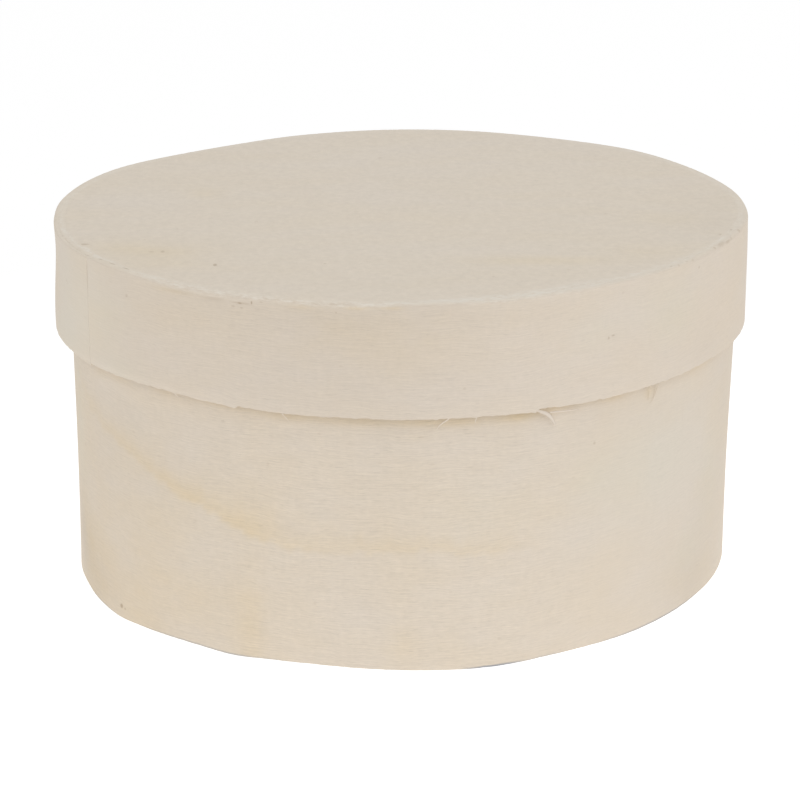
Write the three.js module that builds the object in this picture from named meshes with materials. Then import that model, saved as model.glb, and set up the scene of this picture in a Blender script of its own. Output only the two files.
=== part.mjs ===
// Round bentwood box of pale peeled veneer with a lift-off lid, closed.
// Millimetres, +Z up. The origin is at the centre of the underside, and the front faces -Y.
//
// Body and lid are made alike: one strip of veneer is bent into a ring, its feathered ends are lapped
// and glued, and a flat disc is glued in, flush with the ring's edge.

import * as THREE from "three";

// Overall sizes
const LID_DIAMETER = 95;
const BOX_HEIGHT = 50.5;
const LID_BAND_HEIGHT = 15.2;

// Thicknesses of the veneer strips and of the discs
const LID_VENEER = 1.5;
const BODY_VENEER = 1.5;
const LID_DISC_THICKNESS = 3;
const BASE_DISC_THICKNESS = 3;

// Air all round between the lid's strip and the body's strip, so that the lid slips on
const LID_PLAY = 0.5;

// Laps: how far the ends overlap, how thin they are feathered, and the open line beside each tip
const LID_LAP_LENGTH = 30;
const BODY_LAP_LENGTH = 34;
const LAP_TIP = 0.3;
const LAP_GROOVE = 0.4;

// Glue: the film in a lap, the line round a disc's rim, and the bead squeezed out above the base
const LAP_FILM = 0.12;
const RIM_LINE = 0.25;
const BASE_BEAD = 1;

// Sanded outer edges of the strips
const LID_TOP_EASE = 0.5;
const LID_LOWER_EASE = 0.2;
const BODY_TOP_EASE = 0.3;
const BODY_BOTTOM_EASE = 0.4;

// Directions, in degrees counter-clockwise from +X, in which the outer end of each lap lies
const LID_LAP_END_DEG = 211;
const BODY_LAP_END_DEG = 118;

// A bent strip never springs back to a true circle. Each row is one set of lobes in the plan outline:
// how many there are, the share of the radius by which they swell, and the direction of one crest.
const LOBE_SHARES = [
  { lobes: 2, share: 0.0225, crestDeg: 28.6 },
  { lobes: 3, share: 0.0068, crestDeg: -56.8 },
  { lobes: 4, share: 0.0072, crestDeg: 3.5 },
  { lobes: 5, share: 0.0046, crestDeg: 9.5 },
  { lobes: 6, share: 0.0049, crestDeg: -21.3 },
  { lobes: 7, share: 0.002, crestDeg: -2.3 },
  { lobes: 8, share: 0.0017, crestDeg: 6.5 },
  { lobes: 9, share: 0.0018, crestDeg: 0.5 },
];

// Flat facets along a lap, and round the rest of a ring
const LAP_STEPS = 12;
const REST_STEPS = 108;

const LID_RADIUS = LID_DIAMETER / 2;
const BODY_BAND_HEIGHT = BOX_HEIGHT - LID_DISC_THICKNESS;
const FULL_TURN = 2 * Math.PI;

// Plan outline: the lid's outer face, moved inwards by inset

function outlineRadius(direction, inset) {
  let swell = 0;
  for (const { lobes, share, crestDeg } of LOBE_SHARES) {
    swell += share * Math.cos(lobes * (direction - THREE.MathUtils.degToRad(crestDeg)));
  }
  return LID_RADIUS * (1 + swell) - inset;
}

function outlinePoint(direction, inset) {
  const radius = outlineRadius(direction, inset);
  return new THREE.Vector2(radius * Math.cos(direction), radius * Math.sin(direction));
}

// Evenly spread values from the first to the last, both included
function spread(first, last, steps) {
  return Array.from({ length: steps + 1 }, (_, i) => THREE.MathUtils.lerp(first, last, i / steps));
}

// A strip's plan: the insets of its two faces, and the directions in which it has a corner. The band,
// its disc and its glue share these directions, so that their facets lie face to face.
function stripPlan({ outerInset, veneer, lapLength, lapEndDeg }) {
  const middleRadius = LID_RADIUS - outerInset - veneer / 2;
  const lapEnd = THREE.MathUtils.degToRad(lapEndDeg);
  const lapStart = lapEnd - lapLength / middleRadius;
  const groove = LAP_GROOVE / middleRadius;
  return {
    outerInset,
    innerInset: outerInset + veneer,
    lap: spread(lapStart, lapEnd, LAP_STEPS),
    rest: spread(lapEnd + groove, lapStart + FULL_TURN - groove, REST_STEPS),
  };
}

// Inset of the sloping glue film's middle at a corner of the lap: near the inner face where the inner
// end is thinnest, and near the outer face where the outer end is thinnest
function scarfInset(plan, i) {
  const margin = LAP_TIP + LAP_FILM / 2;
  return THREE.MathUtils.lerp(plan.innerInset - margin, plan.outerInset + margin, i / LAP_STEPS);
}

// Solid swept round the outline. Each section is a convex list of [inset, z] corners, anticlockwise for
// someone who looks along the sweep with the outside on their right. A ring closes on itself.
function sweep(directions, sections, isRing) {
  const corners = sections[0].length;
  const positions = [];
  directions.forEach((direction, i) => {
    for (const [inset, z] of sections[i]) {
      const { x, y } = outlinePoint(direction, inset);
      positions.push(x, y, z);
    }
  });

  const index = [];
  const spans = isRing ? directions.length : directions.length - 1;
  for (let i = 0; i < spans; i++) {
    const here = i * corners;
    const next = ((i + 1) % directions.length) * corners;
    for (let c = 0; c < corners; c++) {
      const d = (c + 1) % corners;
      index.push(here + c, next + c, next + d);
      index.push(here + c, next + d, here + d);
    }
  }
  if (!isRing) {
    const last = spans * corners;
    for (let c = 1; c < corners - 1; c++) {
      index.push(0, c, c + 1);
      index.push(last, last + c + 1, last + c);
    }
  }

  const geometry = new THREE.BufferGeometry();
  geometry.setAttribute("position", new THREE.Float32BufferAttribute(positions, 3));
  geometry.setIndex(index);
  geometry.computeVertexNormals();
  return geometry;
}

// Wood

// Section of a strip, with its two outer edges eased by sanding
function stripSection(innerInset, outerInset, height, topEase, bottomEase) {
  const most = (innerInset - outerInset) / 2;
  const top = Math.min(topEase, most);
  const bottom = Math.min(bottomEase, most);
  return [
    [innerInset, 0],
    [outerInset + bottom, 0],
    [outerInset, bottom],
    [outerInset, height - top],
    [outerInset + top, height],
    [innerInset, height],
  ];
}

// One veneer strip: its inner end starts thin, the strip goes once round, and its outer end runs on
// over the inner one and thins out
function bandGeometry(plan, height, topEase, bottomEase) {
  const half = LAP_FILM / 2;
  const section = (inner, outer) => stripSection(inner, outer, height, topEase, bottomEase);
  const innerEnd = plan.lap.map((_, i) => section(plan.innerInset, scarfInset(plan, i) + half));
  const middle = plan.rest.map(() => section(plan.innerInset, plan.outerInset));
  const outerEnd = plan.lap.map((_, i) => section(scarfInset(plan, i) - half, plan.outerInset));
  const directions = [...plan.lap, ...plan.rest, ...plan.lap];
  return sweep(directions, [...innerEnd, ...middle, ...outerEnd], false);
}

function discGeometry(plan, thickness) {
  const rim = [...plan.lap, ...plan.rest].map((direction) =>
    outlinePoint(direction, plan.innerInset + RIM_LINE),
  );
  return new THREE.ExtrudeGeometry(new THREE.Shape(rim), { depth: thickness, bevelEnabled: false });
}

// Glue

function lapGlueGeometry(plan, height) {
  const half = LAP_FILM / 2;
  const sections = plan.lap.map((_, i) => {
    const middle = scarfInset(plan, i);
    return [
      [middle + half, 0],
      [middle - half, 0],
      [middle - half, height],
      [middle + half, height],
    ];
  });
  return sweep(plan.lap, sections, false);
}

// The line of glue between a disc's rim and its strip
function rimGlueGeometry(plan, thickness) {
  const directions = [...plan.lap, ...plan.rest];
  const section = [
    [plan.innerInset + RIM_LINE, 0],
    [plan.innerInset, 0],
    [plan.innerInset, thickness],
    [plan.innerInset + RIM_LINE, thickness],
  ];
  return sweep(directions, directions.map(() => section), true);
}

// The bead of glue squeezed out in the corner above the base
function beadGeometry(plan) {
  const directions = [...plan.lap, ...plan.rest];
  const section = [
    [plan.innerInset + BASE_BEAD, 0],
    [plan.innerInset, 0],
    [plan.innerInset, BASE_BEAD],
  ];
  return sweep(directions, directions.map(() => section), true);
}

// Finishes

const SIDE_VENEER = new THREE.MeshStandardMaterial({ color: 0xd9cdbc, roughness: 0.85, metalness: 0 });
const DISC_WOOD = new THREE.MeshStandardMaterial({ color: 0xd3c9bb, roughness: 0.9, metalness: 0 });
const DRY_GLUE = new THREE.MeshStandardMaterial({ color: 0xc9b48f, roughness: 0.5, metalness: 0 });

function piece(name, geometry, material, z) {
  const mesh = new THREE.Mesh(geometry, material);
  mesh.name = name;
  mesh.position.z = z;
  return mesh;
}

// Assembly

function makeBody() {
  const plan = stripPlan({
    outerInset: LID_VENEER + LID_PLAY,
    veneer: BODY_VENEER,
    lapLength: BODY_LAP_LENGTH,
    lapEndDeg: BODY_LAP_END_DEG,
  });
  const band = bandGeometry(plan, BODY_BAND_HEIGHT, BODY_TOP_EASE, BODY_BOTTOM_EASE);
  const body = new THREE.Group();
  body.add(
    piece("body_band", band, SIDE_VENEER, 0),
    piece("body_lap_glue", lapGlueGeometry(plan, BODY_BAND_HEIGHT), DRY_GLUE, 0),
    piece("base_disc", discGeometry(plan, BASE_DISC_THICKNESS), DISC_WOOD, 0),
    piece("base_rim_glue", rimGlueGeometry(plan, BASE_DISC_THICKNESS), DRY_GLUE, 0),
    piece("base_glue_bead", beadGeometry(plan), DRY_GLUE, BASE_DISC_THICKNESS),
  );
  return body;
}

// The lid's disc rests on the top edge of the body's strip
function makeLid() {
  const plan = stripPlan({
    outerInset: 0,
    veneer: LID_VENEER,
    lapLength: LID_LAP_LENGTH,
    lapEndDeg: LID_LAP_END_DEG,
  });
  const band = bandGeometry(plan, LID_BAND_HEIGHT, LID_TOP_EASE, LID_LOWER_EASE);
  const discZ = LID_BAND_HEIGHT - LID_DISC_THICKNESS;
  const lid = new THREE.Group();
  lid.add(
    piece("lid_band", band, SIDE_VENEER, 0),
    piece("lid_lap_glue", lapGlueGeometry(plan, LID_BAND_HEIGHT), DRY_GLUE, 0),
    piece("lid_disc", discGeometry(plan, LID_DISC_THICKNESS), DISC_WOOD, discZ),
    piece("lid_rim_glue", rimGlueGeometry(plan, LID_DISC_THICKNESS), DRY_GLUE, discZ),
  );
  lid.position.z = BOX_HEIGHT - LID_BAND_HEIGHT;
  return lid;
}

const box = new THREE.Group();
box.add(makeBody(), makeLid());

export default box;
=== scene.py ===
import math

import bpy
import numpy as np
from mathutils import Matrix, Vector


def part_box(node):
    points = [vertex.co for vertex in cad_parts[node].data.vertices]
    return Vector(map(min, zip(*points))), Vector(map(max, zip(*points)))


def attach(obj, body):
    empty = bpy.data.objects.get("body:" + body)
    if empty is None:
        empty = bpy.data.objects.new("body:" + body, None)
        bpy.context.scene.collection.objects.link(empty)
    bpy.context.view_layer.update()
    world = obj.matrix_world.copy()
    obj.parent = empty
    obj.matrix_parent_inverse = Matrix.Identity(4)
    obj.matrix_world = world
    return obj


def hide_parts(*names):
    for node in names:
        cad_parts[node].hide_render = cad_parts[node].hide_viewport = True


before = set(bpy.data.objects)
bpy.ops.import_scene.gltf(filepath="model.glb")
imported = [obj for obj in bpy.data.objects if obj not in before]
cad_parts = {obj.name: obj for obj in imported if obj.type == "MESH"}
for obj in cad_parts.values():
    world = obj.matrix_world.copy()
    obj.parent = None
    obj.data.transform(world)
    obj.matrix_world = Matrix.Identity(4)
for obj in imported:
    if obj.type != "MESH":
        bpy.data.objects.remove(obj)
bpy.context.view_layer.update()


# Camera
# A long lens looks down on the front of the box. Its place and its angle follow the outlines of the lid
# and of the body in the photograph.
LOOK_DOWN = math.radians(18.376)
CAMERA_DISTANCE = 0.4266
AIM_POINT = Vector((-0.0003, 0.0, 0.02218))
LENS_MM = 134.7

camera_data = bpy.data.cameras.new("camera")
camera_data.lens = LENS_MM
camera_data.sensor_width = 36
camera_data.clip_start = 0.01
camera_data.clip_end = 20
camera = bpy.data.objects.new("camera", camera_data)
camera.location = AIM_POINT + CAMERA_DISTANCE * Vector((0, -math.cos(LOOK_DOWN), math.sin(LOOK_DOWN)))
camera.rotation_euler = (math.pi / 2 - LOOK_DOWN, 0, 0)
bpy.context.scene.collection.objects.link(camera)
bpy.context.scene.camera = camera


# The body's band
# A strip of peeled veneer, bent into a ring that never comes out quite round. Its two ends are planed
# to feather edges, lapped over each other at the back of the box and glued.
LID_MEAN_RADIUS = 0.0475
VENEER = 0.0015
LID_PLAY = 0.0005
BODY_OUTER_INSET = VENEER + LID_PLAY
BODY_LAP_LENGTH = 0.034
BODY_LAP_END = math.radians(118)
BODY_STATIONS = 700
BODY_TOP_ROUND = 0.00025
BODY_LOW_ROUND = 0.00006
INNER_ROUND = 0.00005
MOST_ROUNDED = 0.45
LAP_TIP = 0.0003
LAP_GROOVE = 0.0004
LAP_FILM = 0.00012
BEND_WIDTH = 0.000004
SANDED_OFF = 0.00003
NICK_DEPTH = 0.00001
NICK_SWING = 0.000015
DEEPEST_NICK = 0.00008
NICKED_HEIGHT = 0.0012
FULL_TURN = 2 * math.pi

# Lobes of the plan outline: how many, the share of the radius by which they swell, and the direction of
# one crest in degrees
LOBES = (
    (2, 0.0225, 28.6), (3, 0.0068, -56.8), (4, 0.0072, 3.5), (5, 0.0046, 9.5), (6, 0.0049, -21.3),
    (7, 0.002, -2.3), (8, 0.0017, 6.5), (9, 0.0018, 0.5),
)


def outline_radius(direction):
    """The lid's outer radius: the mean radius times one plus a cosine for each set of lobes."""
    swell = sum(share * np.cos(count * (direction - math.radians(crest))) for count, share, crest in LOBES)
    return LID_MEAN_RADIUS * (1 + swell)


def plan_points(direction, inset, z):
    """Points at radius outline_radius(direction) - inset and height z."""
    radius = outline_radius(direction) - inset
    return np.stack([radius * np.cos(direction), radius * np.sin(direction), z + 0 * radius], -1)


def round_turn(count):
    """Directions spread evenly round a full turn."""
    return np.arange(count) * FULL_TURN / count


def waves(along, shortest, longest, count, random):
    """Uneven line of rms one: a sum of sines whose wavelengths are spread evenly in scale."""
    lengths = np.geomspace(shortest, longest, count)
    phases = random.uniform(0, FULL_TURN, count)
    line = sum(np.sin(FULL_TURN * along / length + phase) for length, phase in zip(lengths, phases))
    return line * math.sqrt(2 / count)


def look_up(table, at):
    """The columns of a table after its first, each interpolated at values of its first."""
    table = np.array(table)
    return [np.interp(at, table[:, 0], column) for column in table[:, 1:].T]


def smooth(value, low, high):
    """Zero up to low, one from high on, and 3 t^2 - 2 t^3 between them. Low may be the larger of them."""
    t = np.clip((value - low) / (high - low), 0, 1)
    return t * t * (3 - 2 * t)


def patches(direction, z, rows):
    """Sum of soft round patches, strength exp(-(along / half length)^2 - (up / half height)^2). Each row
    is a direction in degrees, a height, a half length and a half height in millimetres, and a strength."""
    value = 0 * z
    for degrees, height, half_length, half_height, strength in rows:
        turn = (direction - math.radians(degrees) + math.pi) % FULL_TURN - math.pi
        along = turn * LID_MEAN_RADIUS * 1000 / half_length
        up = (z * 1000 - height) / half_height
        value = value + strength * np.exp(-(along**2) - up**2)
    return value


def lap_plan(outer_inset, lap_length, lap_end, stations):
    """Directions, outer inset and thickness of the wall along a lapped strip. It starts thin under its
    own outer end, goes once round, and runs on over its start while it thins out, all at a constant
    slope. Stations close beside each bend in the slope keep it crisp."""
    middle_radius = LID_MEAN_RADIUS - outer_inset - VENEER / 2
    lap = lap_length / middle_radius
    groove = LAP_GROOVE / middle_radius
    crisp = BEND_WIDTH / middle_radius
    bends = np.array([lap, lap + groove, FULL_TURN - groove, FULL_TURN])
    beside = bends + crisp * np.array([-1, 1, -1, 1])
    run = np.unique(np.concatenate([np.linspace(0, FULL_TURN + lap, stations), bends, beside]))
    inner_inset = outer_inset + VENEER
    half = LAP_FILM / 2
    film_start = inner_inset - LAP_TIP - half
    film_end = outer_inset + LAP_TIP + half
    outer = np.interp(run, [0, *bends[:2]], [film_start + half, film_end + half, outer_inset])
    inner = np.interp(run, [*bends[2:], FULL_TURN + lap], [inner_inset, film_start - half, film_end - half])
    return {
        "run": run[:, None],
        "along": run[:, None] * middle_radius,
        "direction": lap_end - lap + run[:, None],
        "outer": outer[:, None],
        "wall": (inner - outer)[:, None],
        "middle_radius": middle_radius,
        "start": lap_end - lap,
        "lap": lap,
        "groove": groove,
        "film": (film_start, film_end),
    }


def rounded_section(wall, height, top_round, low_round, inner_round, face_shares, arc_rows, edge_rows):
    """Depth below the outer face and height of a section's points, anticlockwise from the middle of its
    lower edge: straight sides joined by quarter circles, depth r (1 - cos a) and height r (1 - sin a).
    The shares say how far up a side each of its rows lies. No radius takes more than MOST_ROUNDED of
    the wall."""
    angle = np.linspace(0, math.pi / 2, arc_rows)
    across = (np.arange(edge_rows) + 0.5) / edge_rows

    def side(top, low):
        top = np.minimum(top, MOST_ROUNDED * wall)
        low = np.minimum(low, MOST_ROUNDED * wall)
        depth = [
            low + (wall / 2 - low) * across[::-1],
            low * (1 - np.cos(angle[::-1])),
            0 * wall + 0 * face_shares,
            top * (1 - np.cos(angle)),
            top + (wall / 2 - top) * across,
        ]
        z = [
            0 * wall + 0 * across,
            low * (1 - np.sin(angle[::-1])),
            low + (height - low - top) * face_shares,
            height - top * (1 - np.sin(angle)),
            height + 0 * wall + 0 * across,
        ]
        return np.concatenate(depth, 1), np.concatenate(z, 1)

    outer_depth, outer_z = side(top_round, low_round)
    inner_depth, inner_z = side(inner_round, inner_round)
    depth = np.concatenate([outer_depth, wall - inner_depth[:, ::-1]], 1)
    return depth, np.concatenate([outer_z, inner_z[:, ::-1]], 1)


def swept_faces(stations, corners, ring=False):
    """Quads of a section of corners carried past the stations, with quads across both ends or, on a
    ring, back to the first station."""
    i = np.arange(stations if ring else stations - 1)[:, None]
    j = np.arange(corners)
    k = (j + 1) % corners
    n = (i + 1) % stations
    sides = np.stack([i * corners + j, n * corners + j, n * corners + k, i * corners + k], -1).reshape(-1, 4)
    if ring:
        return sides
    c = np.arange(corners // 2 - 1)
    start = np.stack([c, c + 1, corners - 2 - c, corners - 1 - c], -1)
    end = start[:, ::-1] + (stations - 1) * corners
    return np.concatenate([sides, start, end])


def carry(mesh, marks):
    """Gives a mesh its marks: named numbers or vectors at every point, which a material can read."""
    for mark, values in marks.items():
        values = np.asarray(values, np.float32).ravel()
        kind, field = ("FLOAT", "value") if len(values) == len(mesh.vertices) else ("FLOAT_VECTOR", "vector")
        mesh.attributes.new(mark, kind, "POINT").data.foreach_set(field, values)


def add_mesh(name, points, faces, flat_faces=0, **marks):
    """Makes a mesh object at the origin, smooth but for the last few faces, with its marks. Its faces are
    an array, or a list where some have three corners and some have four."""
    faces = faces.tolist() if isinstance(faces, np.ndarray) else faces
    mesh = bpy.data.meshes.new(name)
    mesh.from_pydata(points.reshape(-1, 3).tolist(), [], faces)
    mesh.polygons.foreach_set("use_smooth", np.arange(len(faces)) < len(faces) - flat_faces)
    carry(mesh, marks)
    mesh.update()
    added = bpy.data.objects.new(name, mesh)
    bpy.context.scene.collection.objects.link(added)
    return added


body_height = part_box("body_band")[1].z
body_random = np.random.default_rng(11)
body_plan = lap_plan(BODY_OUTER_INSET, BODY_LAP_LENGTH, BODY_LAP_END, BODY_STATIONS)
# Rows up the wall, closest together at the streak and under the lid's edge: row, share of the height
BODY_ROWS = ((0, 0), (9, 0.274), (31, 0.568), (35, 0.657), (49, 0.762), (57, 1))
body_shares = look_up(BODY_ROWS, np.arange(1, BODY_ROWS[-1][0]))[0]
wall, outer = body_plan["wall"], body_plan["outer"]
depth, z = rounded_section(
    wall, body_height, BODY_TOP_ROUND, BODY_LOW_ROUND, INNER_ROUND, body_shares, arc_rows=4, edge_rows=2
)
along = body_plan["along"] + 0 * z
direction = body_plan["direction"] + 0 * z
nicks = np.clip(NICK_DEPTH + NICK_SWING * waves(along, 0.001, 0.009, 14, body_random), 0, DEEPEST_NICK)
# Where the outer face leans out or in, in rows for patches with the amount in millimetres
BODY_LEANS = (
    (357, 38, 10, 17, 0.6), (190, 14, 11, 24, -0.33), (199, 0, 5, 5, -0.26), (215, 0, 4, 5, 0.36),
    (230, 0, 4, 5, -0.16), (241, 0, 4, 5, 0.5), (255, 0, 5, 5, -0.14), (284, 0, 6, 5, 0.3),
    (297, 0, 4, 5, -0.1), (313, 0, 6, 5, 0.18), (327, 0, 6, 5, 0.1), (342, 0, 6, 5, 0.14),
)
lean = patches(direction, z, BODY_LEANS) / 1000 * (1 - depth / wall)
depth = depth + outer
points = plan_points(direction, depth + SANDED_OFF - lean, z + nicks * smooth(z, NICKED_HEIGHT, 0))

# A yellow streak sags across the front: direction in degrees, height in millimetres, strength, and half
# width above its crest in millimetres. Its half width below the crest and its sway are in millimetres too.
STREAK = (
    (196, 32, 0.1, 1.5), (209, 26.9, 0.35, 1.5), (221, 23.9, 0.45, 1.6), (230, 21.4, 0.6, 1.9),
    (238, 19.1, 0.75, 2.5), (246, 17, 0.75, 3.4), (253, 16.2, 0.65, 3.6), (260, 16.4, 0.45, 2.2),
    (270, 16.9, 0.42, 1.7), (278, 16.8, 0.42, 1.7), (286, 16.3, 0.38, 1.7), (293, 15.7, 0.15, 1.7),
    (300, 15, 0, 1.7),
)
STREAK_BELOW = 0.5
STREAK_SWAY = 0.25
facing = np.degrees(direction) % 360
crest, streak, above_crest = look_up(STREAK, facing)
off_streak = z * 1000 - crest + STREAK_SWAY * waves(along, 0.002, 0.02, 8, body_random)
streak = np.where((facing > STREAK[0][0]) & (facing < STREAK[-1][0]), streak, 0)
streak = streak * np.exp(-((off_streak / np.where(off_streak > 0, above_crest, STREAK_BELOW)) ** 2))
# Yellow stains, darker and lighter places, and cooler places on the wall, in rows for patches. The stain rows
# from 33.5 to 34.6 mm high are a warm painted shade just under the lid's lower edge and beside the slivers.
BODY_STAINS_AND_SHADE = (
    (218, 13, 16, 12, 0.3), (325, 18, 12, 8, -0.25), (203, 4, 6, 6, 0.75), (222, 2, 5, 5, 0.4),
    (210, 4, 4, 4, 0.2), (205, 13, 3, 2.5, -0.2), (271, 32.2, 3, 0.8, 0.3), (230, 21, 4, 3, 0.1),
    (243.7, 5, 2.2, 9, 0.45), (240, 10, 2.5, 8, 0.14), (234, 6, 4, 5, 0.2), (270, 5, 2.5, 6, 0.3),
    (278, 4, 2.5, 4, 0.15), (328, 23, 8, 5, -0.3), (205, 26, 4, 4, 0.2), (60, 20, 12, 5, 0.4),
    (140, 30, 15, 4, 0.3), (210, 34, 2.5, 1, 0.5), (215, 34.3, 3, 0.6, 0.4), (222, 34.5, 3, 0.7, -0.12),
    (227, 34.6, 2, 0.45, 0.3), (240, 34.6, 4, 0.45, 0.5), (252, 34.2, 6, 0.65, 0.45),
    (268, 34.2, 8, 0.75, 0.75), (280, 34.2, 5, 0.7, 0.6), (289.5, 34.2, 3, 0.8, 1.15),
    (297, 34.6, 4, 0.7, 0.8), (308, 34.3, 4, 0.7, 0.6), (317, 33.5, 1.2, 1, 0.5), (335, 34, 8, 1, 0.3),
)
# Darker and lighter places. The rows from about 33 to 35 mm high are painted shade under the lid's lower edge
# where they darken, and painted light where they lighten that shade. The broad rows elsewhere darken the wall
# towards its left and right sides and in patches: painted shade where the light falls off, together with the
# wood's own tone.
BODY_TONE_LIGHT_AND_SHADE = (
    (215, 24, 8, 5, -0.012), (268, 18, 7, 18, -0.012), (347, 15, 5, 30, -0.02), (232, 23, 7, 3, -0.01),
    (252, 18, 9, 0.7, -0.014), (267, 33, 4, 3, -0.012), (205, 8, 5, 8, -0.006), (90, 15, 10, 6, -0.02),
    (30, 30, 12, 5, 0.015), (270, 34.8, 70, 0.6, -0.03), (296, 33.9, 2, 1.3, 0.12),
    (221, 33.1, 13, 1.5, 0.055), (208, 33, 4, 2, 0.025), (234, 34, 8, 0.5, 0.035),
    (241, 33.8, 4, 0.7, 0.02), (251, 33.3, 6, 0.9, 0.035), (262, 33.2, 6, 0.8, 0.015),
    (278, 34.6, 8, 0.35, -0.04), (290, 34.3, 3, 0.5, -0.075), (295.5, 34.6, 2, 0.4, 0.06),
    (306, 33.8, 7, 0.9, 0.022), (328, 32.8, 10, 1.8, 0.03), (316, 34.2, 5, 1, 0.02), (199, 6, 6, 7, -0.08),
    (207, 2, 6, 5, -0.045), (333, 2, 8, 6, -0.06), (338, 12, 6, 8, -0.03), (325, 8, 8, 8, -0.015),
    (205, 16, 8, 6, -0.01), (206, 12, 3, 4, 0.015), (196.5, 7, 2.5, 6, -0.03), (240, 11, 3, 4, -0.012),
)
BODY_COOL = (
    (318, 23, 12, 7, 0.8), (197, 24, 4, 10, 0.8), (283, 22, 6, 4, 0.3), (340, 17, 5, 7, 0.5),
    (304, 24, 4, 3, 0.5), (331, 8, 4, 3, 0.6),
)
# How strong the grain is: direction in degrees, share
BODY_GRAIN = (
    (0, 0.5), (25, 0.8), (150, 0.9), (180, 0.7), (220, 0.8), (245, 1.15), (285, 1.15), (310, 0.55),
    (360, 0.5),
)
# How yellow and how cool the whole wall is, and how fuzzy its top edge is
BODY_YELLOW, BODY_COOLNESS, BODY_FUZZ = 0.25, 0.15, 0.4
sanded = smooth(depth - outer.min() + z - body_height, -0.0002, 0.0001)
body_band = add_mesh(
    "body_veneer",
    points,
    swept_faces(*z.shape),
    flat_faces=z.shape[1] - 2,
    strip=np.stack([along, z, depth], -1),
    grain=look_up(BODY_GRAIN, facing)[0],
    sanded=sanded,
    fuzz=BODY_FUZZ * sanded,
    # Stain and tone here also carry the painted shade and painted light under the lid's lower edge
    stain=BODY_YELLOW + streak + patches(direction, z, BODY_STAINS_AND_SHADE),
    cool=BODY_COOLNESS + patches(direction, z, BODY_COOL),
    tone=patches(direction, z, BODY_TONE_LIGHT_AND_SHADE),
)


def feed(tree, sockets, values):
    """Gives each named socket its value, or a link where the value is itself a socket."""
    for name, value in values.items():
        if isinstance(value, bpy.types.NodeSocket):
            tree.links.new(value, sockets[name])
        else:
            sockets[name].default_value = value


def place(tree, kind, inputs=None, **settings):
    """Adds a shader node, sets its properties and feeds its inputs."""
    node = tree.nodes.new("ShaderNode" + kind)
    for name, value in settings.items():
        setattr(node, name, value)
    feed(tree, node.inputs, inputs or {})
    return node


def calculate(tree, operation, first, second=0.0, third=0.0):
    """One Math node, whose inputs are numbers or sockets."""
    return place(tree, "Math", {0: first, 1: second, 2: third}, operation=operation).outputs[0]


def total(tree, *terms):
    """Sum of products: each term is a pair of numbers or sockets."""
    result = calculate(tree, "MULTIPLY", *terms[0])
    for first, second in terms[1:]:
        result = calculate(tree, "MULTIPLY_ADD", first, second, result)
    return result


def ramp(tree, value, low, high):
    """Smooth step of a value, from zero at low to one at high."""
    inputs = {"Value": value, "From Min": low, "From Max": high}
    return place(tree, "MapRange", inputs, interpolation_type="SMOOTHSTEP").outputs["Result"]


def noise(tree, vector, per_metre, detail, rough, shift=(0, 0, 0)):
    """Noise about zero, with its own number of features per metre along each axis."""
    mapped = place(tree, "Mapping", {"Vector": vector, "Scale": per_metre, "Location": shift}).outputs[0]
    inputs = {"Vector": mapped, "Scale": 1.0, "Detail": detail, "Roughness": rough}
    return calculate(tree, "SUBTRACT", place(tree, "TexNoise", inputs).outputs["Fac"], 0.5)


def mix_colour(tree, factor, first, second):
    """Colour between two colours, by a factor from zero to one. A Mix node takes colours at its inputs 6
    and 7, and gives theirs at output 2."""
    inputs = {0: factor, 6: first, 7: second}
    return place(tree, "Mix", inputs, data_type="RGBA", clamp_factor=True).outputs[2]


def shade_colour(tree, colour, shade):
    """Colour times a number."""
    return place(tree, "VectorMath", {0: colour, "Scale": shade}, operation="SCALE").outputs[0]


def attribute(tree, name, socket="Fac"):
    """A number, or a vector, that the mesh carries at its points."""
    return place(tree, "Attribute", attribute_name=name).outputs[socket]


def new_group(name, inputs, outputs):
    """Empty shader node group, with the sockets of its two end nodes."""
    group = bpy.data.node_groups.new(name, "ShaderNodeTree")
    for side, sockets in (("INPUT", inputs), ("OUTPUT", outputs)):
        for label, kind in sockets.items():
            group.interface.new_socket(label, in_out=side, socket_type="NodeSocket" + kind)
    return group, group.nodes.new("NodeGroupInput").outputs, group.nodes.new("NodeGroupOutput").inputs


def use_group(tree, group, inputs):
    """Places a node group in a material with its own values."""
    return place(tree, "Group", inputs, node_tree=group).outputs


def grain_group():
    """Grain of bare wood, about zero: fine lines and short dark flecks along the first axis, and fine
    ripples across it. It serves as a change of brightness and as a height."""
    group, given, result = new_group(
        "wood_grain",
        {"Place": "Vector", "Lines": "Float", "Flecks": "Float", "Ripples": "Float"},
        {"Change": "Float"},
    )
    sway = noise(group, given["Place"], (90, 60, 60), 2.0, 0.5, (3.0, 0.0, 1.0))
    sway = place(group, "CombineXYZ", {"Y": total(group, (sway, 0.002), (1.0, 0.001))}).outputs[0]
    where = place(group, "VectorMath", {0: given["Place"], 1: sway}, operation="ADD").outputs[0]
    broad = noise(group, where, (330, 3000, 2200), 2.0, 0.6)
    fine = noise(group, where, (1100, 6800, 4400), 2.0, 0.6, (7.0, 3.0, 0.0))
    long = noise(group, where, (200, 6000, 4000), 2.0, 0.6, (4.0, 8.0, 0.0))
    lines = total(group, (broad, 0.2), (fine, 1.1), (long, 1.2))
    fleck = ramp(group, noise(group, where, (600, 4200, 3000), 2.0, 0.5, (1.0, 9.0, 4.0)), 0.1, 0.22)
    ripple = noise(group, given["Place"], (1900, 420, 300), 2.0, 0.6, (2.0, 5.0, 3.0))
    flecks = calculate(group, "MULTIPLY", given["Flecks"], -1.0)
    change = total(group, (lines, given["Lines"]), (fleck, flecks), (ripple, given["Ripples"]))
    feed(group, result, {"Change": change})
    return group


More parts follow.
